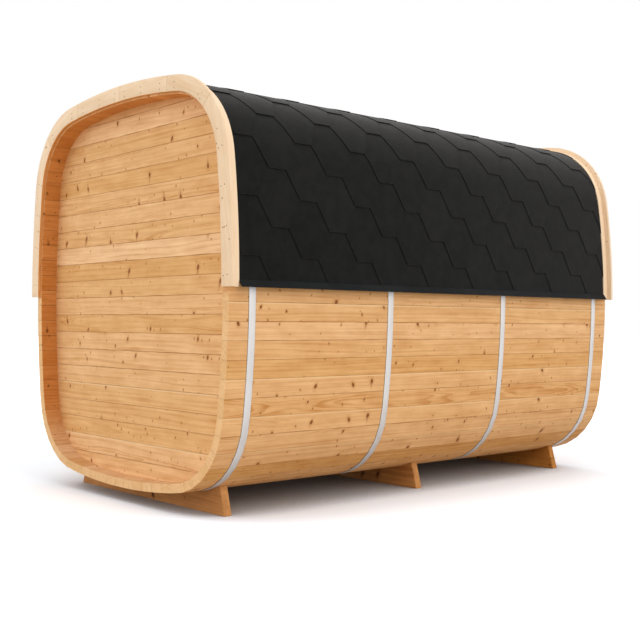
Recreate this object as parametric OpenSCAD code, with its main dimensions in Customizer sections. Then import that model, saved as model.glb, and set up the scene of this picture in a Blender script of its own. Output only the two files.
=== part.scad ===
// Cube sauna: a hooped stave shell with rounded corners, closed end walls, three
// cradles and a shingled roof over its upper half. Millimetres, +Z up, X across
// the shell, Y along it. The origin is on the ground under the middle.

/* [Shell] */
// Length of the staves, from rim to rim
shell_l = 3000; // [2200:50:4500]
// Width of the shell at mid-height
shell_w = 1904; // [1800:10:2100]
// Height of the shell
shell_h = 2048; // [1950:10:2200]
// Radius of the slightly bulging sides
side_r = 4570; // [4000:50:6000]
// Radius of the slightly bulging floor and crown
crown_r = 4180; // [4000:50:6000]
// Radius of the rounded corners
corner_r = 430; // [380:10:480]
// Thickness of a stave
stave_t = 45; // [38:1:50]

/* [End walls] */
// Depth of the open recess in front of each end wall
recess_d = 95; // [60:5:200]
// Thickness of the end wall boards
wall_t = 42; // [28:1:50]

/* [Roof] */
// Thickness of the shingle cover and its underlay
cover_t = 18; // [12:1:25]
// Width of the batten between the cover and the trim
batten_w = 45; // [30:1:60]
// Height of the flared drip edge
drip_h = 34; // [30:1:45]
// How far the drip edge stands out from the cover
drip_out = 22; // [10:1:24]
// Sheet thickness of the drip edge
drip_t = 4; // [2:1:5]

/* [Trim] */
// Thickness of the arched trim boards
trim_t = 18; // [15:1:25]
// How far the trim stands out beyond the staves
trim_out = 45; // [42:1:60]
// How far the trim covers the rim of the shell
trim_in = 35; // [20:1:40]
// Distance from the middle to the joint beside the crown boards
crown_board_l = 456; // [400:10:500]
// How much further down the left legs reach than the right legs
left_leg_drop = 18; // [0:1:30]

/* [Hoops] */
// Width of a steel hoop
hoop_w = 40; // [30:1:50]
// Thickness of a steel hoop
hoop_t = 2; // [1:0.5:3]
// Distance from the middle to the two inner hoops
hoop_inner_y = 460; // [300:10:600]
// Distance from the middle to the two outer hoops
hoop_outer_y = 1365; // [1365:5:1390]

/* [Cradles] */
// Gap between the ground and the lowest stave
floor_gap = 75; // [60:5:120]
// Thickness of a cradle
cradle_t = 45; // [38:1:48]
// Length of a cradle on the ground
cradle_l = 1400; // [1300:10:1500]
// How far each end of a cradle leans in, for each millimetre of height
cradle_lean = 0.28; // [0.1:0.01:0.4]
// Distance from the middle to the front cradle
cradle_front_y = 1310; // [1200:5:1320]
// How far the middle cradle stands towards the rear
cradle_middle_y = 30; // [-60:5:60]
// Distance from the middle to the rear cradle
cradle_rear_y = 1320; // [1200:5:1320]

/* [Hidden] */
STAVES = 77;
TRIM_STEP = 45;
BATTEN_T = cover_t + hoop_t;
WOOD = "#dca66c";
WALL_WOOD = "#e0ad74";
TRIM_WOOD = "#f0d8b4";
CRADLE_WOOD = "#a4652f";
SHINGLE = "#2a2a29";
STEEL = "#c9cbd0";

// Centre height of the section above the ground
mid_z = floor_gap + shell_h / 2;

// Centres of the three arcs that make a quarter of the section
side_x = shell_w / 2 - side_r;
crown_z = shell_h / 2 - crown_r;
reach_side = side_r - corner_r;
reach_crown = crown_r - corner_r;
span = norm([side_x, crown_z]);
along = (reach_side * reach_side - reach_crown * reach_crown + span * span) / (2 * span);
across = sqrt(reach_side * reach_side - along * along);
corner_x = side_x - along * side_x / span - across * crown_z / span;
corner_z = along * crown_z / span - across * side_x / span;

// Angles where the side meets the corner, and the corner meets the crown
low_a = atan2(corner_z, corner_x - side_x);
high_a = atan2(corner_z - crown_z, corner_x);
crown_arc = crown_r * (90 - high_a) * PI / 180;
corner_arc = corner_r * (high_a - low_a) * PI / 180;
side_arc = side_r * low_a * PI / 180;
quarter = crown_arc + corner_arc + side_arc;
pitch = 4 * quarter / STAVES;

// Distance along a quarter, from the crown, where the trim boards meet
shoulder_s = crown_r * asin(crown_board_l / (crown_r + trim_out)) * PI / 180;
mitre_s = crown_arc + corner_arc / 2;

// Point of a quarter, u along the outer face from the crown, off outside it
function quarter_point(u, off) =
    u <= crown_arc
        ? [0, crown_z] + arc_point(crown_r + off, 90 - u / crown_r * 180 / PI)
    : u <= crown_arc + corner_arc
        ? [corner_x, corner_z]
            + arc_point(corner_r + off, high_a - (u - crown_arc) / corner_r * 180 / PI)
    : [side_x, 0]
        + arc_point(side_r + off, low_a - (u - crown_arc - corner_arc) / side_r * 180 / PI);

function arc_point(r, a) = r * [cos(a), sin(a)];

// Point of the section, s along the outer face from the middle of the floor,
// first to the right; it carries on over the crown and down the left side
function section_point(s, off) =
    let (t = s > 2 * quarter ? s - 4 * quarter : s)
    let (d = abs(t))
    let (p = quarter_point(d > quarter ? 2 * quarter - d : d, off))
    [t < 0 ? -p[0] : p[0], d > quarter ? p[1] : -p[1]];

// Distance of the joint below stave i, where stave 0 is the middle of the floor
function joint_s(i) = (i - 0.5) * pitch;

// Distances of all the joints from s0 to s1, with both ends
function joints_between(s0, s1) = concat(
    [s0],
    [for (i = [ceil(s0 / pitch + 0.5) : floor(s1 / pitch + 0.5)])
        if (joint_s(i) > s0 + 1 && joint_s(i) < s1 - 1) joint_s(i)],
    [s1]);

// Distances in even steps from s0 to s1
function even_steps(s0, s1) =
    let (n = ceil((s1 - s0) / TRIM_STEP))
    [for (i = [0 : n]) s0 + (s1 - s0) * i / n];

// Strip of the section that follows the distances in list, from in_off to out_off
function strip(list, in_off, out_off) = concat(
    [for (s = list) section_point(s, out_off)],
    [for (i = [len(list) - 1 : -1 : 0]) section_point(list[i], in_off)]);

// Closed outline of the section through every joint between two staves
function ring(off) = [for (i = [0 : STAVES - 1]) section_point(joint_s(i), off)];

// Stands a drawing of the section upright and gives it a length along Y
module along_y(y0, y1) {
    translate([0, y1, mid_z]) rotate([90, 0, 0]) linear_extrude(height = y1 - y0) children();
}

// Staves first to last, side by side
module staves(first, last) {
    color(WOOD) along_y(-shell_l / 2, shell_l / 2)
        polygon(strip(joints_between(joint_s(first), joint_s(last + 1)), -stave_t, 0));
}

module end_wall(y0) {
    color(WALL_WOOD) along_y(y0, y0 + wall_t) polygon(ring(-stave_t));
}

module hoop(y) {
    color(STEEL) along_y(y - hoop_w / 2, y + hoop_w / 2) difference() {
        polygon(ring(hoop_t));
        polygon(ring(0));
    }
}

module cradle(y) {
    top_z = floor_gap + corner_r;
    half_bottom = cradle_l / 2;
    half_top = half_bottom - cradle_lean * top_z;
    outline = [[-half_bottom, -mid_z], [half_bottom, -mid_z],
               [half_top, top_z - mid_z], [-half_top, top_z - mid_z]];
    color(CRADLE_WOOD) along_y(y - cradle_t / 2, y + cradle_t / 2) difference() {
        polygon(outline);
        polygon(ring(0));
    }
}

// Distance to the joint where one stave group ends and the next begins
corner_from = joint_s(26);
crown_from = joint_s(33);
crown_to = 4 * quarter - crown_from;
corner_to = 4 * quarter - corner_from;
cover_from = quarter + drip_h;
cover_to = 4 * quarter - cover_from;

module cover(s0, s1) {
    color(SHINGLE) along_y(batten_w - shell_l / 2, shell_l / 2 - batten_w)
        polygon(strip(joints_between(s0, s1), hoop_t, BATTEN_T));
}

// Folded strip under the cover: a web against the staves and a flared lip
module drip_edge(side) {
    foot = shell_w / 2;
    web_z = drip_h - drip_t;
    profile = [
        section_point(cover_from, hoop_t),
        [foot + hoop_t, web_z],
        [foot + BATTEN_T - drip_t, web_z],
        [foot + BATTEN_T + drip_out - drip_t, 0],
        [foot + BATTEN_T + drip_out, 0],
        section_point(cover_from, BATTEN_T)
    ];
    color(SHINGLE) along_y(batten_w - shell_l / 2, shell_l / 2 - batten_w)
        polygon([for (p = profile) [side * p[0], p[1]]]);
}

module batten(y0, s0, s1) {
    color(TRIM_WOOD) along_y(y0, y0 + batten_w)
        polygon(strip(joints_between(s0, s1), 0, BATTEN_T));
}

module trim_board(y0, s0, s1) {
    color(TRIM_WOOD) along_y(y0, y0 + trim_t)
        polygon(strip(even_steps(s0, s1), -trim_in, trim_out));
}

// The three trim boards of one side, as distances from the foot to the crown
module trim_side(y0, side, board) {
    s0 = board == "leg" ? quarter - (side < 0 ? left_leg_drop : 0)
        : board == "shoulder" ? 2 * quarter - mitre_s
        : 2 * quarter - shoulder_s;
    s1 = board == "leg" ? 2 * quarter - mitre_s
        : board == "shoulder" ? 2 * quarter - shoulder_s
        : 2 * quarter;
    if (side > 0) trim_board(y0, s0, s1);
    else trim_board(y0, 4 * quarter - s1, 4 * quarter - s0);
}

front_y = -shell_l / 2;
rear_y = shell_l / 2;

module shell_floor() { staves(-5, 5); }
module shell_low_corner_right() { staves(6, 12); }
module shell_side_right() { staves(13, 25); }
module shell_high_corner_right() { staves(26, 32); }
module shell_crown() { staves(33, 44); }
module shell_high_corner_left() { staves(45, 51); }
module shell_side_left() { staves(52, 64); }
module shell_low_corner_left() { staves(65, 71); }
module front_wall() { end_wall(front_y + recess_d); }
module rear_wall() { end_wall(rear_y - recess_d - wall_t); }

shell_floor();
shell_low_corner_right();
shell_side_right();
shell_high_corner_right();
shell_crown();
shell_high_corner_left();
shell_side_left();
shell_low_corner_left();
front_wall();
rear_wall();
hoop(-hoop_outer_y);  // hoop_1
hoop(-hoop_inner_y);  // hoop_2
hoop(hoop_inner_y);  // hoop_3
hoop(hoop_outer_y);  // hoop_4
cradle(-cradle_front_y);  // cradle_front
cradle(cradle_middle_y);  // cradle_middle
cradle(cradle_rear_y);  // cradle_rear
cover(cover_from, corner_from);  // cover_side_right
cover(corner_from, crown_from);  // cover_corner_right
cover(crown_from, crown_to);  // cover_crown
cover(crown_to, corner_to);  // cover_corner_left
cover(corner_to, cover_to);  // cover_side_left
drip_edge(1);  // drip_edge_right
drip_edge(-1);  // drip_edge_left
batten(front_y, quarter, crown_from);  // batten_front_right
batten(front_y, crown_from, crown_to);  // batten_front_crown
batten(front_y, crown_to, 3 * quarter);  // batten_front_left
batten(rear_y - batten_w, quarter, crown_from);  // batten_rear_right
batten(rear_y - batten_w, crown_from, crown_to);  // batten_rear_crown
batten(rear_y - batten_w, crown_to, 3 * quarter);  // batten_rear_left
trim_side(front_y - trim_t, 1, "leg");  // trim_front_leg_right
trim_side(front_y - trim_t, 1, "shoulder");  // trim_front_shoulder_right
trim_side(front_y - trim_t, 1, "crown");  // trim_front_crown_right
trim_side(front_y - trim_t, -1, "leg");  // trim_front_leg_left
trim_side(front_y - trim_t, -1, "shoulder");  // trim_front_shoulder_left
trim_side(front_y - trim_t, -1, "crown");  // trim_front_crown_left
trim_side(rear_y, 1, "leg");  // trim_rear_leg_right
trim_side(rear_y, 1, "shoulder");  // trim_rear_shoulder_right
trim_side(rear_y, 1, "crown");  // trim_rear_crown_right
trim_side(rear_y, -1, "leg");  // trim_rear_leg_left
trim_side(rear_y, -1, "shoulder");  // trim_rear_shoulder_left
trim_side(rear_y, -1, "crown");  // trim_rear_crown_left
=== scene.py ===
import math
import random

import bpy
import bmesh
from mathutils import Matrix, Vector


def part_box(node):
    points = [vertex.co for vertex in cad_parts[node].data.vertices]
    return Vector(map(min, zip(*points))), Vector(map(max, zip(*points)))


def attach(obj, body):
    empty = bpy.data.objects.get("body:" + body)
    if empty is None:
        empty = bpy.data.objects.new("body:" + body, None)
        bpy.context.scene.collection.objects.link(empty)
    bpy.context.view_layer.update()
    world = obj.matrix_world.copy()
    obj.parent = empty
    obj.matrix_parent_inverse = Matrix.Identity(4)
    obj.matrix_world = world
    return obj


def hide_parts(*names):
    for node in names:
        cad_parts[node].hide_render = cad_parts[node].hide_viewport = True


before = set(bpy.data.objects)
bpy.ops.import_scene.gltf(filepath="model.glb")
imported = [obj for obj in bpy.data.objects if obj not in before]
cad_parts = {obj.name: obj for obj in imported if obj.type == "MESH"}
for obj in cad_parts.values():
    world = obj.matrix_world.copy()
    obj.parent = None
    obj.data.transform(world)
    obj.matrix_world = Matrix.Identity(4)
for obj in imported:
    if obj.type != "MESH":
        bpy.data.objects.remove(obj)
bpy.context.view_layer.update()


# --- Cradles -------------------------------------------------------------------------------
# Three softwood planks on edge carry the sauna. Each is sawn hollow along its top so that the
# lowest staves sit in it, and its ends lean inwards. Their wood is darker and browner than the
# staves: a little of it is the wood's own tone, the rest painted shade from standing under the
# body.

CRADLES = ["cradle_front", "cradle_middle", "cradle_rear"]
CRADLE_EDGE = 0.003


class Value:
    """A value that nodes work out. A sum written with it adds the node that does the sum."""

    def __init__(self, socket):
        self.socket, self.tree = socket, socket.id_data

    __add__ = __radd__ = lambda self, other: worked("ADD", self, other)
    __mul__ = __rmul__ = lambda self, other: worked("MULTIPLY", self, other)
    __sub__ = lambda self, other: worked("SUBTRACT", self, other)
    __rsub__ = lambda self, other: worked("SUBTRACT", other, self)
    __truediv__ = lambda self, other: worked("DIVIDE", self, other)
    __gt__ = lambda self, other: worked("GREATER_THAN", self, other)
    __lt__ = lambda self, other: worked("LESS_THAN", self, other)
    __abs__ = lambda self: worked("ABSOLUTE", self)


def feed(node, ins):
    """Fills a node's inputs, each with a plain value, with a Value, or with a list of Values."""
    for key, value in ins.items():
        shown = [s for s in node.inputs if s.enabled]
        socket = shown[key] if isinstance(key, int) else next(s for s in shown if s.name == key)
        for item in value if isinstance(value, list) else [value]:
            if isinstance(item, Value):
                node.id_data.links.new(item.socket, socket)
            else:
                socket.default_value = item


def put(tree, kind, ins=None, **options):
    """Adds a node to a tree, and fills its inputs."""
    node = tree.nodes.new(kind)
    for name, value in options.items():
        setattr(node, name, value)
    feed(node, ins or {})
    return node


def out(node, name=0):
    """The output of a node that is in use, by name or by place."""
    shown = [s for s in node.outputs if s.enabled]
    socket = shown[name] if isinstance(name, int) else next(s for s in shown if s.name == name)
    return Value(socket)


def made(tree, kind, ins=None, name=0, **options):
    """Adds a node to a tree, for one of its outputs."""
    return out(put(tree, kind, ins, **options), name)


def worked(operation, *values):
    """The result of a Math node, or of a Vector Math node where the values are vectors."""
    first = next(v for v in values if isinstance(v, Value))
    kind = "ShaderNodeVectorMath" if first.socket.type == "VECTOR" else "ShaderNodeMath"
    return made(first.tree, kind, dict(enumerate(values)), operation=operation)


def xyz(x=0.0, y=0.0, z=0.0):
    tree = next(v.tree for v in (x, y, z) if isinstance(v, Value))
    return made(tree, "ShaderNodeCombineXYZ", {"X": x, "Y": y, "Z": z})


def apart(vector):
    node = put(vector.tree, "ShaderNodeSeparateXYZ", {0: vector})
    return [out(node, name) for name in "XYZ"]


def ramp(value, low, high, to_low=0.0, to_high=1.0, kind="SMOOTHSTEP"):
    """Takes a value from the range low..high to the range to_low..to_high, and holds it there."""
    return made(value.tree, "ShaderNodeMapRange",
                {"Value": value, "From Min": low, "From Max": high, "To Min": to_low,
                 "To Max": to_high}, interpolation_type=kind)


def blend_colour(share, first, second, kind="MIX"):
    tree = next(v.tree for v in (share, first, second) if isinstance(v, Value))
    return made(tree, "ShaderNodeMix", {"Factor": share, "A": first, "B": second}, "Result",
                data_type="RGBA", blend_type=kind)


def cloudy(spot, scale=1.0, detail=2.0, roughness=0.5, name=0):
    """Noise at a spot in space, or at a distance along a line."""
    key, size = ("Vector", "3D") if spot.socket.type == "VECTOR" else ("W", "1D")
    return made(spot.tree, "ShaderNodeTexNoise",
                {key: spot, "Scale": scale, "Detail": detail, "Roughness": roughness}, name,
                noise_dimensions=size)


def bumped(height, strength, distance):
    return made(height.tree, "ShaderNodeBump",
                {"Height": height, "Strength": strength, "Distance": distance})


def new_material(name):
    """A material, with its node tree and its shader."""
    material = bpy.data.materials.new(name)
    material.use_nodes = True
    return material, material.node_tree, material.node_tree.nodes["Principled BSDF"]


def spot_on(tree):
    """The place of a spot on the piece, in metres."""
    return made(tree, "ShaderNodeTexCoord", name="Object")


def new_tree(name, kind, inputs, outputs):
    """A node group with named sockets: inputs are name, type and value, outputs name and type."""
    tree = bpy.data.node_groups.new(name, kind)
    for title, socket, *value in inputs:
        item = tree.interface.new_socket(name=title, in_out="INPUT",
                                         socket_type="NodeSocket" + socket)
        if value:
            item.default_value = value[0]
    for title, socket in outputs:
        tree.interface.new_socket(name=title, in_out="OUTPUT", socket_type="NodeSocket" + socket)
    start, end = tree.nodes.new("NodeGroupInput"), tree.nodes.new("NodeGroupOutput")
    return tree, {s.name: Value(s) for s in start.outputs}, end


def srgb(red, green, blue):
    """A colour as it looks on a screen, 0 to 255, as the linear value that a shader takes."""
    return tuple((v / 255 / 12.92) if v < 11 else ((v / 255 + 0.055) / 1.055) ** 2.4
                 for v in (red, green, blue)) + (1.0,)


def knots(along, across, ragged, cell, share, size):
    """Knots scattered over a board: the knot itself, the stain round it, and its branch tail."""
    across = across * 0.7
    spots = put(along.tree, "ShaderNodeTexVoronoi",
                {"Vector": xyz(along, across), "Scale": 1.0 / cell, "Randomness": 0.65},
                voronoi_dimensions="2D")
    odds, reach, lean = apart(out(spots, "Color"))
    centre_along, centre_across, _ = apart(out(spots, "Position"))
    there = odds > 1.0 - share
    radius = size * ramp(reach, 0.0, 1.0, 0.45, 1.0, "LINEAR")
    v = (across - centre_across) / radius
    u = (lean - 0.5) * v + (along - centre_along) / radius
    far = worked("SQRT", u * u + v * v)
    rough = (ragged - 0.5) * 0.9 + far
    body = ramp(rough, 1.25, 0.7) * there
    stain = ramp(rough, 3.0, 0.9) * there
    side = v * worked("SIGN", lean - 0.5)
    tail = ramp(abs(u), 1.0, 0.1) * (ramp(side, 4.5, 0.6) * ramp(side, 0.0, 0.6))
    return body, stain, tail * (there * (reach > 0.6)), far


def softwood_grain():
    """Solid spruce: growth rings round a pith that wanders, and knots that push them aside."""
    tree, given, end = new_tree(
        "Softwood grain", "ShaderNodeTree",
        [("Grain", "Vector"), ("Board", "Vector"), ("Early wood", "Color"),
         ("Late wood", "Color"), ("Knot", "Color"), ("Inner wood", "Color"),
         ("Planed edge", "Color"), ("Inner depth", "Float", -9.0), ("Half width", "Float", 9.0),
         ("Half length", "Float", 9.0), ("Ring width", "Float", 0.0032),
         ("Figure", "Float", 0.6), ("Knot share", "Float", 0.30),
         ("Knot size", "Float", 0.0105), ("Tone spread", "Float", 0.10)],
        [("Color", "Color"), ("Roughness", "Float"), ("Height", "Float")])
    across, depth, length = apart(given["Grain"])
    pith_across, pith_depth, tone = apart(given["Board"])
    along = tone * 61.0 + length

    def noise(x, y, z, detail=2.0, roughness=0.5):
        """Cloudy noise with its own scale across, in depth and along the board."""
        return cloudy(xyz(across * x, depth * y, along * z), 1.0, detail, roughness)

    def centred(value, amount):
        return (value - 0.5) * amount

    # knots: branches, and pin knots between them
    ragged = noise(170.0, 170.0, 170.0)
    shifted = tone * 7.0 + across
    body, stain, tail, away = knots(along, shifted, ragged, 0.13, given["Knot share"],
                                    given["Knot size"])
    pins, pin_stain, _, _ = knots(along, shifted + 3.7, ragged, 0.065, given["Knot share"],
                                  0.0042)

    # growth rings round the wandering pith, pushed aside by the knots
    wander_across, wander_depth, _ = apart(cloudy(xyz(along * 0.8, tone), 1.0, 1.0, name="Color"))
    side = (across - pith_across) + centred(wander_across, 0.05)
    deep = (depth - pith_depth) + centred(wander_depth, 0.05)
    radius = worked("SQRT", side * side + deep * deep)
    ring = radius + centred(noise(16.0, 16.0, 1.7, 2.0, 0.45), 0.016)
    ring = stain * 0.011 + ring
    phase = worked("FRACT", ring / given["Ring width"])
    late = ramp(phase, 0.25, 0.9) * ramp(phase, 1.0, 0.93)
    band = ramp(cloudy(ring * 95.0 + tone * 31.0), 0.42, 0.74)
    fibre = noise(420.0, 420.0, 9.0)
    amount = (given["Figure"] * (late * 0.7 + 0.25) * (band * 0.8 + 0.2)
              + centred(noise(62.0, 62.0, 2.6), 0.8)
              + centred(noise(13.0, 13.0, 5.0, 3.0, 0.6), 1.0) + centred(fibre, 0.2))
    wood = blend_colour(amount + 0.2, given["Early wood"], given["Late wood"])

    # each board has its own tone, and its faces towards the inside get a deeper tint, painted
    # shade for the recess
    shade = cloudy(tone * 57.0, 1.0, 0.0)
    bright = (shade - 0.5) * (given["Tone spread"] * 2.0) + 1.0
    wood = made(tree, "ShaderNodeHueSaturation", {"Color": wood, "Value": bright,
                                                  "Saturation": 2.0 - bright})
    wood = blend_colour(depth < given["Inner depth"], wood,
                        blend_colour(1.0, wood, given["Inner wood"], "MULTIPLY"))

    # knots with their stain, and the dark line where two boards meet: a dark joint with painted
    # shade of the groove in it
    stained = worked("MAXIMUM", stain * 0.45, pin_stain * 0.4)
    wood = blend_colour(stained, wood, given["Late wood"])
    wood = blend_colour(tail * 0.48, wood, given["Knot"])
    hard = worked("MAXIMUM", body, pins * 0.8)
    heart = blend_colour(ramp(worked("FRACT", away * 4.0), 0.2, 0.9, 0.0, 0.35), given["Knot"],
                         given["Late wood"])
    wood = blend_colour(hard, wood, heart)
    seam_dark_and_shade = (ramp(given["Half width"] - abs(across), 0.0036, 0.0008)
            * ramp(noise(0.0, 0.0, 6.0), 0.35, 0.65, 0.1, 0.9)
            * ramp(shade, 0.35, 0.65, 0.4, 1.0))
    wood = blend_colour(seam_dark_and_shade, wood, blend_colour(0.5, given["Late wood"], given["Knot"]))

    # pale planed wood: a painted highlight along the upper arris of some boards, and the pale cut
    # ends
    arris_highlight = (ramp(given["Half width"] - across, 0.009, 0.005)
             * (worked("FRACT", tone * 7.3) > 0.8) * (depth > -0.004))
    wood = blend_colour(arris_highlight * 0.55, wood, given["Planed edge"])
    cut = abs(length) > given["Half length"]
    wood = blend_colour(cut * 0.4, wood, given["Planed edge"])
    feed(end, {"Color": wood, "Roughness": late * -0.06 + (hard * -0.12 + 0.62),
               "Height": late * 0.5 + (hard * 0.8 + fibre)})
    return tree


softwood = softwood_grain()


def wood_finish(name, early, late, knot, **sizes):
    """A planed softwood: the solid grain follows each board by its own Grain and Board values."""
    material, tree, shader = new_material(name)
    group = put(tree, "ShaderNodeGroup", node_tree=softwood)
    for title in ("Grain", "Board"):
        feed(group, {title: made(tree, "ShaderNodeAttribute", None, "Vector",
                                 attribute_name=title)})
    feed(group, {"Early wood": early, "Late wood": late, "Knot": knot, **sizes})
    feed(shader, {"Base Color": out(group, "Color"), "Roughness": out(group, "Roughness"),
                  "Normal": bumped(out(group, "Height"), 0.25, 0.0006),
                  "Specular IOR Level": 0.12})
    return material


def in_scene(name, data):
    """A new object in the scene, at the origin."""
    thing = bpy.data.objects.new(name, data)
    bpy.context.scene.collection.objects.link(thing)
    return thing


def eased_copy(name, node, edge):
    """A new piece in the shape of a CAD node, with its edges rounded by sanding."""
    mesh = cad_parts[node].data.copy()
    mesh.materials.clear()
    bm = bmesh.new()
    bm.from_mesh(mesh)
    bmesh.ops.remove_doubles(bm, verts=bm.verts, dist=0.00002)
    bmesh.ops.dissolve_limit(bm, angle_limit=math.radians(0.4), verts=bm.verts, edges=bm.edges)
    bm.to_mesh(mesh)
    bm.free()
    mesh.shade_smooth()
    piece = in_scene(name, mesh)
    bevel = piece.modifiers.new("Eased edges", "BEVEL")
    bevel.width, bevel.segments, bevel.limit_method = edge, 2, "ANGLE"
    bevel.angle_limit, bevel.harden_normals = math.radians(25), True
    return piece


def set_solid(piece):
    """Turns a piece with modifiers into a plain mesh."""
    graph = bpy.context.evaluated_depsgraph_get()
    mesh = bpy.data.meshes.new_from_object(piece.evaluated_get(graph),
                                           preserve_all_data_layers=True, depsgraph=graph)
    piece.modifiers.clear()
    piece.data = mesh
    mesh.name = piece.name
    return piece


def set_vectors(mesh, **fields):
    """Gives each point of a mesh its vector in each field."""
    for name, vectors in fields.items():
        field = mesh.attributes.get(name) or mesh.attributes.new(name, "FLOAT_VECTOR", "POINT")
        for data, vector in zip(field.data, vectors):
            data.vector = vector


def mark_board(piece, along, pith, tone):
    """Gives a plank its Grain, measured along it and from its middle, and its Board values."""
    vertices = piece.data.vertices
    along, depth = Vector(along).normalized(), Vector((0, -1, 0))
    across = depth.cross(along)
    middle = sum((v.co for v in vertices), Vector()) / len(vertices)
    spots = [v.co - middle for v in vertices]
    set_vectors(piece.data, Grain=[(s.dot(across), s.dot(depth), s.dot(along)) for s in spots],
                Board=[(*pith, tone)] * len(spots))


# darker, browner wood than the staves: partly painted shade for the cradles' place under the body
cradle_shaded_wood = wood_finish("cradle_wood", srgb(210, 150, 86), srgb(148, 90, 35), srgb(76, 42, 15),
                           **{"Knot share": 0.3, "Ring width": 0.0045})
for number, node in enumerate(CRADLES):
    piece = set_solid(eased_copy(node + "_plank", node, CRADLE_EDGE))
    mark_board(piece, (1, 0, 0), (0.03 * number - 0.02, 0.07), 0.13 + 0.21 * number)
    piece.data.materials.append(cradle_shaded_wood)
    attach(piece, "root")
    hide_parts(node)


# --- Staves --------------------------------------------------------------------------------
# Seventy-seven spruce staves, 45 mm thick and as long as the sauna, stand side by side round
# the section. Each is planed to the angle of its place, so the joints close right through.

STAVES = 77
SIDE_RADIUS, CROWN_RADIUS, CORNER_RADIUS = 4.570, 4.180, 0.430
STAVE_THICK = 0.045
JOINT_GAP = 0.0006
STAVE_EDGE = 0.0009
GROUPS = {"shell_floor": (-5, 5), "shell_low_corner_right": (6, 12), "shell_side_right": (13, 25),
          "shell_high_corner_right": (26, 32), "shell_crown": (33, 44),
          "shell_high_corner_left": (45, 51), "shell_side_left": (52, 64),
          "shell_low_corner_left": (65, 71)}

shell_low = Vector([min(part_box(n)[0][i] for n in GROUPS) for i in range(3)])
shell_high = Vector([max(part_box(n)[1][i] for n in GROUPS) for i in range(3)])
half_w = (shell_high.x - shell_low.x) / 2
half_h = (shell_high.z - shell_low.z) / 2
mid_z = (shell_high.z + shell_low.z) / 2
half_l = (shell_high.y - shell_low.y) / 2

# the three arcs of a quarter of the section: side, rounded corner and crown touch smoothly
side_x = half_w - SIDE_RADIUS
crown_z = half_h - CROWN_RADIUS
reach_side = SIDE_RADIUS - CORNER_RADIUS
reach_crown = CROWN_RADIUS - CORNER_RADIUS
span = math.hypot(side_x, crown_z)
on = (reach_side ** 2 - reach_crown ** 2 + span ** 2) / (2 * span)
off = math.sqrt(reach_side ** 2 - on ** 2)
corner_x = side_x - (on * side_x + off * crown_z) / span
corner_z = (on * crown_z - off * side_x) / span
low_angle = math.atan2(corner_z, corner_x - side_x)
high_angle = math.atan2(corner_z - crown_z, corner_x)
crown_arc = CROWN_RADIUS * (math.pi / 2 - high_angle)
corner_arc = CORNER_RADIUS * (high_angle - low_angle)
quarter = crown_arc + corner_arc + SIDE_RADIUS * low_angle
pitch = 4 * quarter / STAVES


def section(s):
    """Point of the section and its outward direction, s metres round from the floor's middle."""
    s = s - 4 * quarter if s > 2 * quarter else s
    d = abs(s)
    u = 2 * quarter - d if d > quarter else d
    if u <= crown_arc:
        angle = math.pi / 2 - u / CROWN_RADIUS
        x, z = CROWN_RADIUS * math.cos(angle), crown_z + CROWN_RADIUS * math.sin(angle)
    elif u <= crown_arc + corner_arc:
        angle = high_angle - (u - crown_arc) / CORNER_RADIUS
        x = corner_x + CORNER_RADIUS * math.cos(angle)
        z = corner_z + CORNER_RADIUS * math.sin(angle)
    else:
        angle = low_angle - (u - crown_arc - corner_arc) / SIDE_RADIUS
        x, z = side_x + SIDE_RADIUS * math.cos(angle), SIDE_RADIUS * math.sin(angle)
    right, up = (-1 if s < 0 else 1), (1 if d > quarter else -1)
    return (Vector((right * x, 0, mid_z + up * z)),
            Vector((right * math.cos(angle), 0, up * math.sin(angle))))


def joint(i):
    return section((i - 0.5) * pitch)


def rounded_outline(width, height, edge):
    """A rectangle with its corners rounded."""
    outline = made(width.tree, "GeometryNodeCurvePrimitiveQuadrilateral",
                   {"Width": width, "Height": height})
    return made(width.tree, "GeometryNodeFilletCurve",
                {"Curve": outline, "Radius": edge, "Count": 2}, mode="POLY")


def thickened(sheet, amount):
    """A flat sheet made a closed solid: pushed up along Z, its copy below turned over."""
    tree = sheet.tree
    rise = made(tree, "GeometryNodeExtrudeMesh", {"Mesh": sheet, "Offset": (0.0, 0.0, 1.0),
                                                  "Offset Scale": amount, "Individual": False})
    back = made(tree, "GeometryNodeFlipFaces", {"Mesh": sheet})
    both = made(tree, "GeometryNodeJoinGeometry", {0: [rise, back]})
    return made(tree, "GeometryNodeMergeByDistance", {"Geometry": both, "Distance": 0.00001})


def rounded_board(width, thick, length, edge):
    """A straight board in its own axes: X across, Y from its face inwards, Z along."""
    face = made(width.tree, "GeometryNodeFillCurve",
                {"Curve": rounded_outline(width, thick, edge)}, mode="NGONS")
    return made(width.tree, "GeometryNodeTransform",
                {"Geometry": thickened(face, length),
                 "Translation": xyz(0.0, thick * -0.5, length * -0.5)})


def made_real(geometry):
    return made(geometry.tree, "GeometryNodeRealizeInstances", {"Geometry": geometry})


def on_points(points, thing):
    return made(points.tree, "GeometryNodeInstanceOnPoints", {"Points": points,
                                                              "Instance": thing})


def moved(geometry, way, amount):
    """Sets the Position of each point, or moves it by an Offset."""
    return made(geometry.tree, "GeometryNodeSetPosition", {"Geometry": geometry, way: amount})


def here(tree):
    return made(tree, "GeometryNodeInputPosition")


def set_down(geometry, given, end):
    """Ends a geometry tree: the instances are made real, and the finish is put on."""
    feed(end, {0: made(geometry.tree, "GeometryNodeSetMaterial",
                       {"Geometry": made_real(geometry), "Material": given["Finish"]})})


def store(geometry, name, value, domain="POINT", kind="FLOAT_VECTOR"):
    return made(geometry.tree, "GeometryNodeStoreNamedAttribute",
                {"Geometry": geometry, "Name": name, "Value": value},
                domain=domain, data_type=kind)


def stored(tree, name, kind="FLOAT_VECTOR"):
    return made(tree, "GeometryNodeInputNamedAttribute", {"Name": name}, data_type=kind)


def any_value(low, high, seed):
    return made(seed.tree, "FunctionNodeRandomValue", {"Min": low, "Max": high, "Seed": seed},
                data_type="FLOAT")


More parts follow.
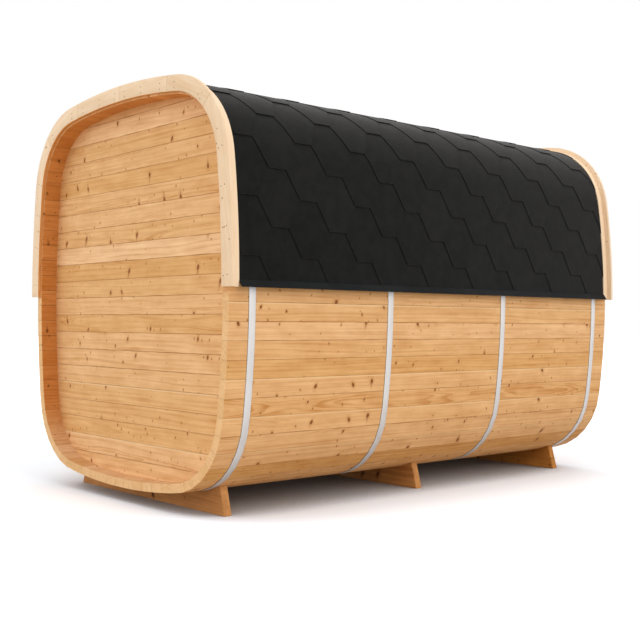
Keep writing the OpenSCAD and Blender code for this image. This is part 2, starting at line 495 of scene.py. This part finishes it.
def laid_boards():
    """Boards laid side by side: one at each point, turned to its Across, tapered to its joints."""
    tree, given, end = new_tree(
        "Laid boards", "GeometryNodeTree",
        [("Places", "Geometry"), ("Width", "Float", 0.09), ("Thickness", "Float", 0.045),
         ("Length", "Float", 3.0), ("Edge", "Float", 0.0016), ("Joint gap", "Float", 0.001),
         ("Lengthways", "Vector", (0.0, 1.0, 0.0)), ("Seed", "Int", 1), ("Finish", "Material")],
        [("Boards", "Geometry")])
    board = rounded_board(given["Width"] - given["Joint gap"], given["Thickness"],
                          given["Length"], given["Edge"])
    laid = on_points(given["Places"], store(board, "Grain", here(tree)))
    turn = any_value(0.0, 2 * math.pi, given["Seed"])
    far = any_value(0.055, 0.15, given["Seed"] + 11.0)
    tone = any_value(0.0, 1.0, given["Seed"] + 23.0)
    laid = store(laid, "Board", xyz(far * worked("COSINE", turn),
                                    far * worked("SINE", turn) - 0.02, tone), "INSTANCE")
    laid = made_real(store(laid, "Seat", here(tree), "INSTANCE"))
    x, y, z = apart(stored(tree, "Grain"))
    slant, taper, _ = apart(stored(tree, "Joints"))
    across = stored(tree, "Across")
    outward = worked("CROSS_PRODUCT", given["Lengthways"], across)
    place = (stored(tree, "Seat") + across * (y * (taper * x + slant) + x) + outward * y
             + given["Lengthways"] * z)
    set_down(moved(laid, "Position", place), given, end)
    return tree


def grown(name, mesh, tree, **sizes):
    """A plain mesh piece that a node tree makes from a mesh of points or lines."""
    piece = in_scene(name, mesh)
    growth = piece.modifiers.new(tree.name, "NODES")
    growth.node_group = tree
    for item in tree.interface.items_tree:
        if item.in_out == "INPUT" and item.name.replace(" ", "_") in sizes:
            growth[item.identifier] = sizes[item.name.replace(" ", "_")]
    set_solid(piece)
    for spare in ("Seat", "Across", "Joints"):
        if spare in piece.data.attributes:
            piece.data.attributes.remove(piece.data.attributes[spare])
    return piece


def places(points, across, joints):
    """Points for boards to be laid at, with the direction across each and its two joint slants."""
    mesh = bpy.data.meshes.new("places")
    mesh.from_pydata([tuple(p) for p in points], [], [])
    set_vectors(mesh, Across=across, Joints=joints)
    return mesh


board_tree = laid_boards()
stave_wood = wood_finish("shell_wood", srgb(243, 197, 144), srgb(200, 138, 77), srgb(122, 62, 18),
                         **{"Planed edge": srgb(252, 218, 168), "Tone spread": 0.12,
                            "Knot share": 0.38,
                            "Inner depth": 0.0005 - STAVE_THICK,
                            "Half width": (pitch - JOINT_GAP) / 2})
tree = stave_wood.node_tree
height = apart(spot_on(tree))[2]
group = next(n for n in tree.nodes if n.type == "GROUP")
# painted shade in the recess: the inner faces of the staves get a deeper orange tint higher up,
# and a cooler one low down where the lamps reach the floor of the recess
feed(group, {"Inner wood": blend_colour(ramp(height, 0.17, 0.5), (0.92, 0.98, 1.12, 1.0),
                                        srgb(238, 205, 163)),
             # painted shade: above the trim feet the cut ends keep the stave colour, not pale end
             # grain, for the shade under the trim boards
             "Half length": ramp(height, mid_z - 0.03, mid_z, half_l - 0.0004, 9.0)})

for seed, (node, (first, last)) in enumerate(GROUPS.items()):
    middles, turns, slants = [], [], []
    for i in range(first, last + 1):
        (low, low_out), (high, high_out) = joint(i), joint(i + 1)
        across = (high - low).normalized()
        outward = Vector((0, 1, 0)).cross(across)
        lean_low = low_out.dot(across) / low_out.dot(outward)
        lean_high = high_out.dot(across) / high_out.dot(outward)
        middles.append((low + high) / 2)
        turns.append(across)
        slants.append(((lean_high + lean_low) / 2,
                       (lean_high - lean_low) / (high - low).length, 0))
    piece = grown(node + "_staves", places(middles, turns, slants), board_tree,
                  Width=pitch, Thickness=STAVE_THICK, Length=2 * half_l, Edge=STAVE_EDGE,
                  Joint_gap=JOINT_GAP, Lengthways=(0.0, 1.0, 0.0), Seed=40 + seed,
                  Finish=stave_wood)
    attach(piece, "root")
    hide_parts(node)


# --- End walls -----------------------------------------------------------------------------
# Each end is closed by planed spruce boards that lie across the shell, set back inside the
# rim. They are cut to the section where they meet the inner faces of the staves.

WALL_PITCH = 0.0965
FIRST_SEAM = 0.204
WALL_GAP = 0.0007
WALL_EDGE = 0.0010

wall_wood = wood_finish("wall_boards", srgb(245, 201, 148), srgb(206, 145, 82),
                        srgb(132, 70, 20), **{"Planed edge": srgb(252, 222, 176),
                                              "Tone spread": 0.14, "Knot share": 0.33,
                                              "Half width": (WALL_PITCH - WALL_GAP) / 2})

for seed, node in enumerate(("front_wall", "rear_wall")):
    low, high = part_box(node)
    facing = -1 if seed == 0 else 1
    face_y = low.y if facing < 0 else high.y
    thick = high.y - low.y
    rows = range(-2, math.ceil((high.z - FIRST_SEAM) / WALL_PITCH) + 1)
    middles = [(0, face_y, FIRST_SEAM + (row + 0.5) * WALL_PITCH) for row in rows]
    piece = grown(node + "_boards", places(middles, [(0, 0, 1)] * len(middles),
                                           [(0, 0, 0)] * len(middles)), board_tree,
                  Width=WALL_PITCH, Thickness=thick, Length=high.x - low.x + 0.02, Edge=WALL_EDGE,
                  Joint_gap=WALL_GAP, Lengthways=(-float(facing), 0.0, 0.0), Seed=90 + seed,
                  Finish=wall_wood)
    saw = eased_copy("saw", node, 0.0)
    saw.modifiers.clear()
    centre = (low.y + high.y) / 2
    saw.data.transform(Matrix.Translation((0, centre, 0)) @ Matrix.Diagonal((1, 1.3, 1, 1))
                       @ Matrix.Translation((0, -centre, 0)))
    cut = piece.modifiers.new("Cut to the section", "BOOLEAN")
    cut.operation, cut.solver, cut.object = "INTERSECT", "EXACT", saw
    set_solid(piece)
    bpy.data.objects.remove(saw)
    chance = random.Random(seed + 5)
    pith = [(chance.uniform(-0.09, 0.09), chance.choice((-1, 1)) * chance.uniform(0.05, 0.11),
             chance.random()) for row in rows]
    spots = [(v.co, math.floor((v.co.z - FIRST_SEAM) / WALL_PITCH)) for v in piece.data.vertices]
    set_vectors(piece.data, Board=[pith[row - rows[0]] for _, row in spots],
                Grain=[(co.z - FIRST_SEAM - (row + 0.5) * WALL_PITCH,
                        (co.y - face_y) * facing, -co.x * facing) for co, row in spots])
    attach(piece, "root")
    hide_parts(node)


# --- Hoops ---------------------------------------------------------------------------------
# Four flat bands of brushed stainless steel, 40 mm wide and 2 mm thick, go right round the
# staves and pull them together. They bend at every joint and lie flat on the stave faces.

HOOPS = ["hoop_1", "hoop_2", "hoop_3", "hoop_4"]
HOOP_THICK, HOOP_EDGE = 0.002, 0.0006


def path_mesh(distances, y, closed=False):
    """A line round the section at the given distances, with its outward direction as Out."""
    mesh = bpy.data.meshes.new("path")
    points = [section(s) for s in distances]
    lines = [(i, i + 1) for i in range(len(points) - 1)]
    if closed:
        lines.append((len(points) - 1, 0))
    mesh.from_pydata([(p.x, y, p.z) for p, _ in points], lines, [])
    set_vectors(mesh, Out=[direction for _, direction in points])
    return mesh


def swept_bars():
    """A flat bar with rounded edges, bent round a path on the side that Out points to."""
    tree, given, end = new_tree(
        "Swept bar", "GeometryNodeTree",
        [("Path", "Geometry"), ("Width", "Float", 0.04), ("Thickness", "Float", 0.002),
         ("Lift", "Float", 0.0), ("Edge", "Float", 0.0006), ("Finish", "Material")],
        [("Bar", "Geometry")])
    line = made(tree, "GeometryNodeMeshToCurve", {"Mesh": given["Path"]})
    line = made(tree, "GeometryNodeSetCurveNormal", {"Curve": line,
                                                     "Normal": stored(tree, "Out")}, mode="FREE")
    outline = rounded_outline(given["Thickness"], given["Width"], given["Edge"])
    lift = xyz(given["Thickness"] * 0.5 + given["Lift"])
    outline = made(tree, "GeometryNodeTransform", {"Geometry": outline, "Translation": lift})
    set_down(made(tree, "GeometryNodeCurveToMesh", {"Curve": line, "Profile Curve": outline,
                                                    "Fill Caps": True}), given, end)
    return tree


steel, tree, shader = new_material("hoop_steel")
spot = spot_on(tree)
x, y, z = apart(spot)
brushed = cloudy(xyz(x * 6.0, y * 900.0, z * 6.0), 1.0, 3.0)
feed(shader, {"Base Color": blend_colour(cloudy(spot, 7.0), srgb(182, 177, 173),
                                         srgb(198, 194, 190)),
              "Roughness": ramp(brushed, 0.3, 0.7, 0.58, 0.70),
              "Normal": bumped(brushed, 0.15, 0.0002), "Metallic": 1.0})

# the side edges of the bands are painted dark: painted shade for the thin shadow line beside each
# band
hoop_edge_shade, tree, shader = new_material("hoop_steel_edge")
feed(shader, {"Base Color": blend_colour(cloudy(spot_on(tree), 30.0, 3.0), srgb(46, 38, 32),
                                         srgb(96, 84, 74)),
              "Metallic": 0.8, "Roughness": 0.7})

bar_tree = swept_bars()
ring = [(i - 0.5) * pitch for i in range(STAVES)]
for node in HOOPS:
    low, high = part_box(node)
    piece = grown(node + "_band", path_mesh(ring[::-1], (low.y + high.y) / 2, closed=True),
                  bar_tree, Width=high.y - low.y, Thickness=HOOP_THICK, Edge=HOOP_EDGE,
                  Finish=steel)
    piece.data.materials.append(hoop_edge_shade)
    # painted shade: the side faces of the band take the dark edge finish
    for face in piece.data.polygons:
        face.material_index = int(abs(face.normal.y) > 0.3)
    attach(piece, "root")
    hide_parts(node)


# --- Roof underlay -------------------------------------------------------------------------
# A bitumen felt on thin boards follows the upper half of the shell between the two end
# battens. The shingles are nailed to it; only its edges can be seen, from below the eaves.

UNDERLAY_LIFT, UNDERLAY_THICK = 0.0022, 0.0068
UNDERLAY_INSET, BEND_STEP = 0.002, 0.03
cover_low, cover_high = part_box("cover_crown")
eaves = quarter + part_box("drip_edge_right")[1].z - mid_z


def steps(start, end, size):
    count = math.ceil((end - start) / size)
    return [start + (end - start) * i / count for i in range(count + 1)]


def bitumen_grains():
    """Crushed slate pressed into bitumen: fine dark grains of mixed tone over a faint mottle."""
    tree, given, end = new_tree(
        "Bitumen and grains", "ShaderNodeTree",
        [("Position", "Vector"), ("Tone", "Float", 0.5), ("Dark", "Color"), ("Light", "Color")],
        [("Color", "Color"), ("Roughness", "Float"), ("Height", "Float")])
    grain = put(tree, "ShaderNodeTexVoronoi", {"Vector": given["Position"], "Scale": 620.0})
    speck = made(tree, "ShaderNodeSeparateColor", {0: out(grain, "Color")})
    mottle = cloudy(given["Position"], 16.0, 4.0, 0.6)
    share = (speck * 0.4 + ramp(mottle, 0.35, 0.65, 0.0, 0.42)) + (given["Tone"] * 0.3 - 0.15)
    feed(end, {"Color": blend_colour(share, given["Dark"], given["Light"]),
               "Roughness": ramp(speck, 0.0, 1.0, 0.5, 0.66), "Height": out(grain, "Distance")})
    return tree


bitumen = bitumen_grains()


def bitumen_finish(name, dark, light, specular):
    material, tree, shader = new_material(name)
    tone = made(tree, "ShaderNodeAttribute", None, "Fac", attribute_name="Tone")
    group = put(tree, "ShaderNodeGroup", node_tree=bitumen)
    feed(group, {"Position": spot_on(tree), "Tone": tone, "Dark": dark, "Light": light})
    feed(shader, {"Base Color": out(group, "Color"), "Roughness": out(group, "Roughness"),
                  "Normal": bumped(out(group, "Height"), 0.25, 0.001),
                  "Specular IOR Level": specular})
    return material


felt = bitumen_finish("underlay_felt", srgb(18, 18, 18), srgb(34, 34, 33), 0.2)
piece = grown("roof_underlay",
              path_mesh(steps(eaves + UNDERLAY_INSET, 4 * quarter - eaves - UNDERLAY_INSET,
                              BEND_STEP)[::-1], 0.0),
              bar_tree, Width=cover_high.y - cover_low.y - 0.001, Thickness=UNDERLAY_THICK,
              Lift=UNDERLAY_LIFT, Edge=0.0005, Finish=felt)
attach(piece, "root")


# --- Shingles ------------------------------------------------------------------------------
# Strips of bitumen shingle with cut tabs are nailed up in courses, each half a tab along from
# the one below, so that hexagons show. They start at the eaves and meet under the ridge caps.

TAB_PITCH, TAB_FOOT, TAB_SLANT = 0.3633, 0.106, 0.0758
EXPOSURE, STRIP_DEPTH, SHEET = 0.1402, 0.31545, 0.003
COURSES, FIRST_COURSE = 14, 0.0068 - EXPOSURE
FIRST_FOOT = 0.0125
SHEET_GAP, UNDERLAY_GAP, CUT_CLEAR = 0.0001, 0.0004, 0.001
ROOF_STEP, SHARP_ANGLE = 0.012, 30


def shingle_courses():
    """Courses of tabbed strips laid flat, cut to the roof, then bent over the path."""
    tree, given, end = new_tree(
        "Shingle courses", "GeometryNodeTree",
        [("Path", "Geometry"), ("Tabs", "Int", 8), ("Courses", "Int", 13),
         ("Tab pitch", "Float", 0.36), ("Tab foot", "Float", 0.105),
         ("Tab slant", "Float", 0.075), ("Exposure", "Float", 0.1375),
         ("Strip depth", "Float", 0.309375), ("Sheet", "Float", 0.003),
         ("Base", "Float", 0.0095), ("First tab", "Vector"), ("Shift", "Float", 0.5),
         ("Cut from", "Vector"), ("Cut to", "Vector"), ("Turn", "Float", 0.0),
         ("Origin", "Vector"), ("Seed", "Int", 1), ("Finish", "Material")],
        [("Shingles", "Geometry")])

    # one tab and the strip above it, foot at the origin
    tab = made(tree, "GeometryNodeMeshGrid", {"Size X": given["Tab pitch"],
                                              "Size Y": given["Strip depth"],
                                              "Vertices X": 4, "Vertices Y": 10})
    x, y, _ = apart(here(tree))
    v = given["Strip depth"] * 0.5 + y
    rise = worked("MINIMUM", v / given["Exposure"], 1.0)
    inner = worked("SIGN", x) * (given["Tab slant"] * rise + given["Tab foot"] * 0.5)
    is_inner = abs(x) < given["Tab pitch"] * 0.3
    tab = moved(tab, "Position", xyz(is_inner * (inner - x) + x, v))
    x, y, _ = apart(here(tree))
    waste = (abs(x) > given["Tab pitch"] * 0.2) * (y < given["Exposure"])
    tab = made(tree, "GeometryNodeDeleteGeometry", {"Geometry": tab, "Selection": waste},
               domain="FACE")

    # tabs side by side, every other course shifted along
    columns = made(tree, "GeometryNodeMeshLine", {"Count": given["Tabs"],
                                                  "Offset": xyz(given["Tab pitch"])},
                   mode="OFFSET")
    rows = made(tree, "GeometryNodeMeshLine", {"Count": given["Courses"],
                                               "Offset": xyz(0.0, given["Exposure"])},
                mode="OFFSET")
    odd = worked("FRACT", made(tree, "GeometryNodeInputIndex") * 0.5) * 2.0
    rows = moved(rows, "Offset", xyz(odd * given["Shift"] * given["Tab pitch"]))
    course = store(on_points(columns, tab), "Tone", any_value(0.0, 1.0, given["Seed"]),
                   "INSTANCE", "FLOAT")
    laid = on_points(rows, course)
    laid = store(laid, "Foot", apart(here(tree))[1], "INSTANCE", "FLOAT")
    laid = made_real(store(laid, "Course tone", any_value(0.0, 1.0, given["Seed"] + 7.0),
                           "INSTANCE", "FLOAT"))
    tone = stored(tree, "Course tone", "FLOAT") * 13.7 + stored(tree, "Tone", "FLOAT")
    laid = store(laid, "Tone", worked("FRACT", tone), "FACE", "FLOAT")
    laid = moved(laid, "Offset", given["First tab"])

    # cut at the roof's edges, each sheet resting on the one below
    low_x, low_y, _ = apart(given["Cut from"])
    high_x, high_y, _ = apart(given["Cut to"])
    x, y, _ = apart(here(tree))
    x = worked("MINIMUM", worked("MAXIMUM", x, low_x), high_x)
    y = worked("MINIMUM", worked("MAXIMUM", y, low_y), high_y)
    foot = stored(tree, "Foot", "FLOAT") + apart(given["First tab"])[1]
    slope = (given["Sheet"] + SHEET_GAP) / given["Exposure"]
    lift = slope * (given["Strip depth"] - (y - foot)) + given["Base"]
    laid = moved(laid, "Position", xyz(x, y, lift))
    laid = made(tree, "GeometryNodeMergeByDistance", {"Geometry": laid, "Distance": 0.0002})
    sliver = made(tree, "GeometryNodeInputMeshFaceArea") < 0.000001
    laid = made(tree, "GeometryNodeDeleteGeometry", {"Geometry": laid, "Selection": sliver},
                domain="FACE")
    flat = made(tree, "GeometryNodeTransform", {"Geometry": thickened(laid, given["Sheet"]),
                                                "Translation": given["Origin"],
                                                "Rotation": xyz(0.0, 0.0, given["Turn"])})

    # bent over the path: X is the distance along it, Z the height above it
    line = made(tree, "GeometryNodeMeshToCurve", {"Mesh": given["Path"]})
    x, y, z = apart(here(tree))
    at = put(tree, "GeometryNodeSampleCurve", {"Curves": line, "Length": x,
                                               "Value": stored(tree, "Out")},
             mode="LENGTH", data_type="FLOAT_VECTOR")
    place = out(at, "Position") + out(at, "Value") * z + xyz(0.0, y)
    set_down(moved(flat, "Position", place), given, end)
    return tree


def smooth_tabs(mesh):
    mesh.shade_smooth()
    mesh.set_sharp_from_angle(angle=math.radians(SHARP_ANGLE))


shingle = bitumen_finish("roof_shingle", srgb(6, 6, 6), srgb(24, 24, 24), 0.05)
shine = shingle.node_tree.nodes["Principled BSDF"].inputs
shine["Sheen Weight"].default_value, shine["Sheen Roughness"].default_value = 0.18, 0.4
course_tree = shingle_courses()
over = steps(quarter, 3 * quarter, ROOF_STEP)[::-1]
roof_half = (cover_high.y - cover_low.y) / 2
laying = {"Tabs": 10, "Courses": COURSES, "Tab_pitch": TAB_PITCH, "Tab_foot": TAB_FOOT,
          "Tab_slant": TAB_SLANT, "Exposure": EXPOSURE, "Strip_depth": STRIP_DEPTH,
          "Sheet": SHEET, "Shift": -0.5,
          "Base": UNDERLAY_LIFT + UNDERLAY_THICK + UNDERLAY_GAP,
          "First_tab": (-roof_half + FIRST_FOOT + TAB_FOOT / 2, FIRST_COURSE, 0.0),
          "Cut_from": (-roof_half + CUT_CLEAR, eaves - quarter, 0.0),
          "Cut_to": (roof_half - CUT_CLEAR, quarter - CUT_CLEAR, 0.0), "Finish": shingle}
for name, turn, origin, seed, nodes in (
        ("shingles_right", math.pi / 2, (2 * quarter, 0.0, 0.0), 3,
         ("cover_side_right", "cover_corner_right")),
        ("shingles_left", -math.pi / 2, (0.0, 0.0, 0.0), 4,
         ("cover_side_left", "cover_corner_left"))):
    piece = grown(name, path_mesh(over, 0.0), course_tree, Turn=turn, Origin=origin, Seed=seed,
                  **laying)
    smooth_tabs(piece.data)
    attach(piece, "root")
    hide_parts(*nodes)


# --- Ridge caps ----------------------------------------------------------------------------
# Single tabs cut from the same shingles lie over the joint along the crown, one over the
# next from the rear to the front.

CAP_WIDTH = 0.255
caps = dict(laying, Tabs=1, Courses=22, Tab_pitch=CAP_WIDTH, Tab_slant=(CAP_WIDTH - TAB_FOOT) / 2,
            Sheet=0.0026, Shift=0.0, First_tab=(0.0, -roof_half + 0.002, 0.0),
            Cut_from=(-CAP_WIDTH, -roof_half + CUT_CLEAR, 0.0),
            Cut_to=(CAP_WIDTH, roof_half - CUT_CLEAR, 0.0),
            Base=laying["Base"] + SHEET * 2.6)
piece = grown("ridge_caps", path_mesh(over, 0.0), course_tree, Turn=0.0,
              Origin=(quarter, 0.0, 0.0), Seed=9, **caps)
smooth_tabs(piece.data)
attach(piece, "root")
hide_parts("cover_crown")


# --- Drip edges ----------------------------------------------------------------------------
# A folded strip of black painted sheet under the lowest course. Its lip flares outwards, so
# that rain drops clear of the staves and the hoops.

paint, tree, shader = new_material("drip_edge_paint")
spot = spot_on(tree)
dull = cloudy(spot, 5.0, 3.0)
feed(shader, {"Base Color": blend_colour(dull, srgb(4, 5, 6), srgb(9, 11, 12)),
              "Roughness": ramp(dull, 0.3, 0.7, 0.45, 0.6),
              "Normal": bumped(cloudy(spot, 240.0), 0.1, 0.0003), "Specular IOR Level": 0.08})
for node in ("drip_edge_right", "drip_edge_left"):
    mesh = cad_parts[node].data
    mesh.materials.clear()
    mesh.materials.append(paint)


# --- Battens -------------------------------------------------------------------------------
# Planed spruce battens bent over the shell flush with each rim. They close the ends of the
# shingles, and the trim boards are nailed to them. Their wood is plain, with no grain marked.

BATTEN_EDGE, BATTEN_THICK, BATTEN_JOINT = 0.0015, 0.020, 0.0004
CROWN_FROM_STAVE = 32.5

trim_wood = wood_finish("trim_wood", srgb(252, 230, 203), srgb(238, 203, 164), srgb(150, 100, 62),
                        **{"Knot share": 0.12, "Knot size": 0.006, "Tone spread": 0.05,
                           "Figure": 0.35})
crown_from = CROWN_FROM_STAVE * pitch
batten_runs = {"right": (quarter, crown_from), "crown": (crown_from, 4 * quarter - crown_from),
               "left": (4 * quarter - crown_from, 3 * quarter)}
for end in ("front", "rear"):
    for part, (start, stop) in batten_runs.items():
        node = f"batten_{end}_{part}"
        low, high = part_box(node)
        run = steps(start + BATTEN_JOINT, stop - BATTEN_JOINT, BEND_STEP)[::-1]
        piece = grown(node + "_bar", path_mesh(run, (low.y + high.y) / 2), bar_tree,
                      Width=high.y - low.y, Thickness=BATTEN_THICK, Edge=BATTEN_EDGE,
                      Finish=trim_wood)
        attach(piece, "root")
        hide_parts(node)


# --- Trim boards ---------------------------------------------------------------------------
# Pale spruce boards, 18 mm thick, sawn to the curve and planed. On each side a leg, a
# shoulder and a crown board meet end to end, nailed to the rim and to the battens.

TRIM_EDGE, TRIM_JOINT, TRIM_FACE, ON_PLANE = 0.0015, 0.0008, 0.0008, 0.0005
CROWN_BOARD = 0.456
TRIM_OUT = 0.045
shoulder = CROWN_RADIUS * math.asin(CROWN_BOARD / (CROWN_RADIUS + TRIM_OUT))
mitre = crown_arc + corner_arc / 2
trim_runs = {"leg": (quarter, 2 * quarter - mitre),
             "shoulder": (2 * quarter - mitre, 2 * quarter - shoulder),
             "crown": (2 * quarter - shoulder, 2 * quarter)}


def fit_board(mesh, cuts, side, face_y, inwards):
    """Trims a board back at its joints for a joint line, and planes its face for the nails."""
    for distance, way in cuts:
        point, outward = section(distance)
        along = Vector((-outward.z, 0, outward.x))
        point.x, along.x = side * point.x, side * along.x
        for v in mesh.vertices:
            if abs((v.co - point).dot(along)) < ON_PLANE:
                v.co += way * TRIM_JOINT * along
    for v in mesh.vertices:
        if abs(v.co.y - face_y) < ON_PLANE:
            v.co.y += inwards * TRIM_FACE


# painted shade: the inner side faces of the trim boards, in the shade of the recess, get a deeper
# orange copy of the trim wood
trim_edge_wood = wood_finish("trim_edge_wood", srgb(240, 178, 112), srgb(215, 145, 80),
                             srgb(132, 70, 20), **{"Knot share": 0.0})
chance = random.Random(11)
for end, inwards in (("front", 1), ("rear", -1)):
    for side, mirror in (("right", 1), ("left", -1)):
        for part, (start, stop) in trim_runs.items():
            node = f"trim_{end}_{part}_{side}"
            low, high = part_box(node)
            piece = eased_copy(node + "_board", node, TRIM_EDGE)
            fit_board(piece.data, [(stop, -1)] if part == "leg" else [(start, 1), (stop, -1)],
                      mirror, low.y if inwards > 0 else high.y, inwards)
            set_solid(piece)
            (first, _), (last, _) = section(start), section(stop)
            along = last - first
            along.x *= mirror
            mark_board(piece, along, (chance.uniform(-0.05, 0.05), chance.uniform(0.06, 0.12)),
                       chance.random())
            for wood in (trim_wood, trim_edge_wood):
                piece.data.materials.append(wood)
            # faces turned towards the middle of the section take the painted-shade copy
            for face in piece.data.polygons:
                inwards_way = Vector((-face.center.x, 0, mid_z - face.center.z)).normalized()
                face.material_index = int(inwards_way.dot(face.normal) > 0.5)
            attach(piece, "root")
            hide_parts(node)


# --- Trim nails ----------------------------------------------------------------------------
# Small domed steel nails in pairs: the inner one holds a trim board to the rim of the shell,
# and the outer one holds it to the batten.

NAIL_HEAD, NAIL_RISE = 0.0062, 0.0006
NAIL_ROWS = {"leg": (0.05, 0.27, 0.46, 0.64), "shoulder": (0.05, 0.30),
             "crown": (0.06, 0.24, 0.40)}
NAIL_LIFTS = {-0.019: 0.0, 0.010: 0.004}


def driven_nails():
    """A low domed head at every point, its back sunk in the board."""
    tree, given, end = new_tree(
        "Driven nails", "GeometryNodeTree",
        [("Places", "Geometry"), ("Head", "Float", 0.006), ("Rise", "Float", 0.0006),
         ("Finish", "Material")],
        [("Nails", "Geometry")])
    head = made(tree, "GeometryNodeMeshUVSphere", {"Segments": 12, "Rings": 6, "Radius": 0.5})
    size = xyz(given["Head"], given["Rise"] * 2.0, given["Head"])
    head = made(tree, "GeometryNodeTransform", {"Geometry": head, "Scale": size})
    head = made(tree, "GeometryNodeSetShadeSmooth", {"Geometry": head})
    set_down(on_points(given["Places"], head), given, end)
    return tree


nail_steel, tree, shader = new_material("nail_steel")
rust = cloudy(spot_on(tree), 9.0, 3.0)
feed(shader, {"Base Color": blend_colour(rust, srgb(120, 88, 60), srgb(96, 84, 74)),
              "Roughness": ramp(rust, 0.3, 0.7, 0.4, 0.6), "Metallic": 0.7})

nail_tree = driven_nails()
for end, inwards in (("front", 1), ("rear", -1)):
    heads = []
    for side, mirror in (("right", 1), ("left", -1)):
        for part, (start, _) in trim_runs.items():
            low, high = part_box(f"trim_{end}_{part}_{side}")
            face_y = (low.y if inwards > 0 else high.y) + inwards * TRIM_FACE
            for step in NAIL_ROWS[part]:
                for lift, stagger in NAIL_LIFTS.items():
                    point, outward = section(start + step + stagger)
                    point += lift * outward
                    heads.append((mirror * point.x, face_y, point.z))
    mesh = bpy.data.meshes.new("nail_places")
    mesh.from_pydata(heads, [], [])
    piece = grown(f"trim_nails_{end}", mesh, nail_tree, Head=NAIL_HEAD, Rise=NAIL_RISE,
                  Finish=nail_steel)
    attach(piece, "root")


# --- Studio --------------------------------------------------------------------------------
# A plain white floor and sky, four wide soft lamps from the left, the right, the front and
# overhead, and the camera at chest height off the sauna's right front corner.

FLOOR_REACH = 60
CAMERA_PLACE = (4.717, -4.255, 0.933)
CAMERA_TURN, CAMERA_TILT, CAMERA_ROLL = 48.712, -0.269, 0.351
FOCAL_LENGTH, SENSOR_WIDTH = 57.72, 36.0
LAMPS = {"left_softbox": ((-0.55, -0.80, 0.45), 60, 1.32),
         "right_softbox": ((0.86, 0.42, 0.50), 70, 1.68),
         "front_softbox": ((0.62, -0.72, 0.30), 50, 0.57),
         "overhead_softbox": ((0.0, 0.0, 1.0), 70, 0.95)}


def in_view(tree):
    """1 for what the camera sees, straight or by way of steel or glass, and 0 for light."""
    rays = put(tree, "ShaderNodeLightPath")
    seen = worked("MAXIMUM", out(rays, "Is Camera Ray"), out(rays, "Is Glossy Ray"))
    return worked("MAXIMUM", seen, out(rays, "Is Transmission Ray"))


floor_mesh = bpy.data.meshes.new("floor")
floor_mesh.from_pydata([(x * FLOOR_REACH, y * FLOOR_REACH, 0)
                        for x, y in ((-1, -1), (1, -1), (1, 1), (-1, 1))], [], [(0, 1, 2, 3)])
floor = in_scene("floor", floor_mesh)
paper, tree, _ = new_material("floor_paper")
tree.nodes.clear()
# painted shadow: by an ambient occlusion mask the paper is darkened close beside what stands on
# it, where the soft lamps hardly reach, and lightened farther off
near = made(tree, "ShaderNodeAmbientOcclusion", {"Distance": 1.0}, "AO", samples=8)
paper_and_shadow = blend_colour(ramp(near, 0.4, 0.8), (0.99, 1.06, 1.16, 1), (1.27, 1.36, 1.48, 1))
paper_and_shadow = blend_colour(ramp(near, 0.28, 0.36, kind="LINEAR"), (0.53, 0.56, 0.60, 1), paper_and_shadow)
spread = made(tree, "ShaderNodeBsdfDiffuse",
              {"Color": blend_colour(in_view(tree), (0.58, 0.50, 0.38, 1), paper_and_shadow)})
put(tree, "ShaderNodeOutputMaterial", {"Surface": spread})
floor_mesh.materials.append(paper)

world = bpy.data.worlds.new("studio")
bpy.context.scene.world = world
world.use_nodes = True
tree = world.node_tree
tree.nodes.clear()
seen = in_view(tree)
sky = made(tree, "ShaderNodeBackground",
           {"Color": blend_colour(seen, (1, 0.94, 0.85, 1), (1, 1, 1, 1)),
            "Strength": ramp(seen, 0, 1, 0.25, 1.0, "LINEAR")})
put(tree, "ShaderNodeOutputWorld", {"Surface": sky})

for name, (source, angle, strength) in LAMPS.items():
    soft = bpy.data.lights.new(name, "SUN")
    soft.angle, soft.energy = math.radians(angle), strength
    in_scene(name, soft).rotation_euler = Vector(source).to_track_quat("Z", "Y").to_euler()

turn, tilt, roll = (math.radians(a) for a in (CAMERA_TURN, CAMERA_TILT, CAMERA_ROLL))
forward = Vector((-math.sin(turn) * math.cos(tilt), math.cos(turn) * math.cos(tilt),
                  -math.sin(tilt)))
right = Vector((math.cos(turn), math.sin(turn), 0))
up = right.cross(forward)
view_right = math.cos(roll) * right + math.sin(roll) * up
view_up = math.cos(roll) * up - math.sin(roll) * right
lens = bpy.data.cameras.new("camera")
lens.sensor_fit, lens.sensor_width, lens.lens = "HORIZONTAL", SENSOR_WIDTH, FOCAL_LENGTH
camera = in_scene("camera", lens)
camera.matrix_world = (Matrix.Translation(CAMERA_PLACE)
                       @ Matrix((view_right, view_up, -forward)).transposed().to_4x4())
bpy.context.scene.camera = camera
bpy.context.scene.view_settings.view_transform = "Standard"
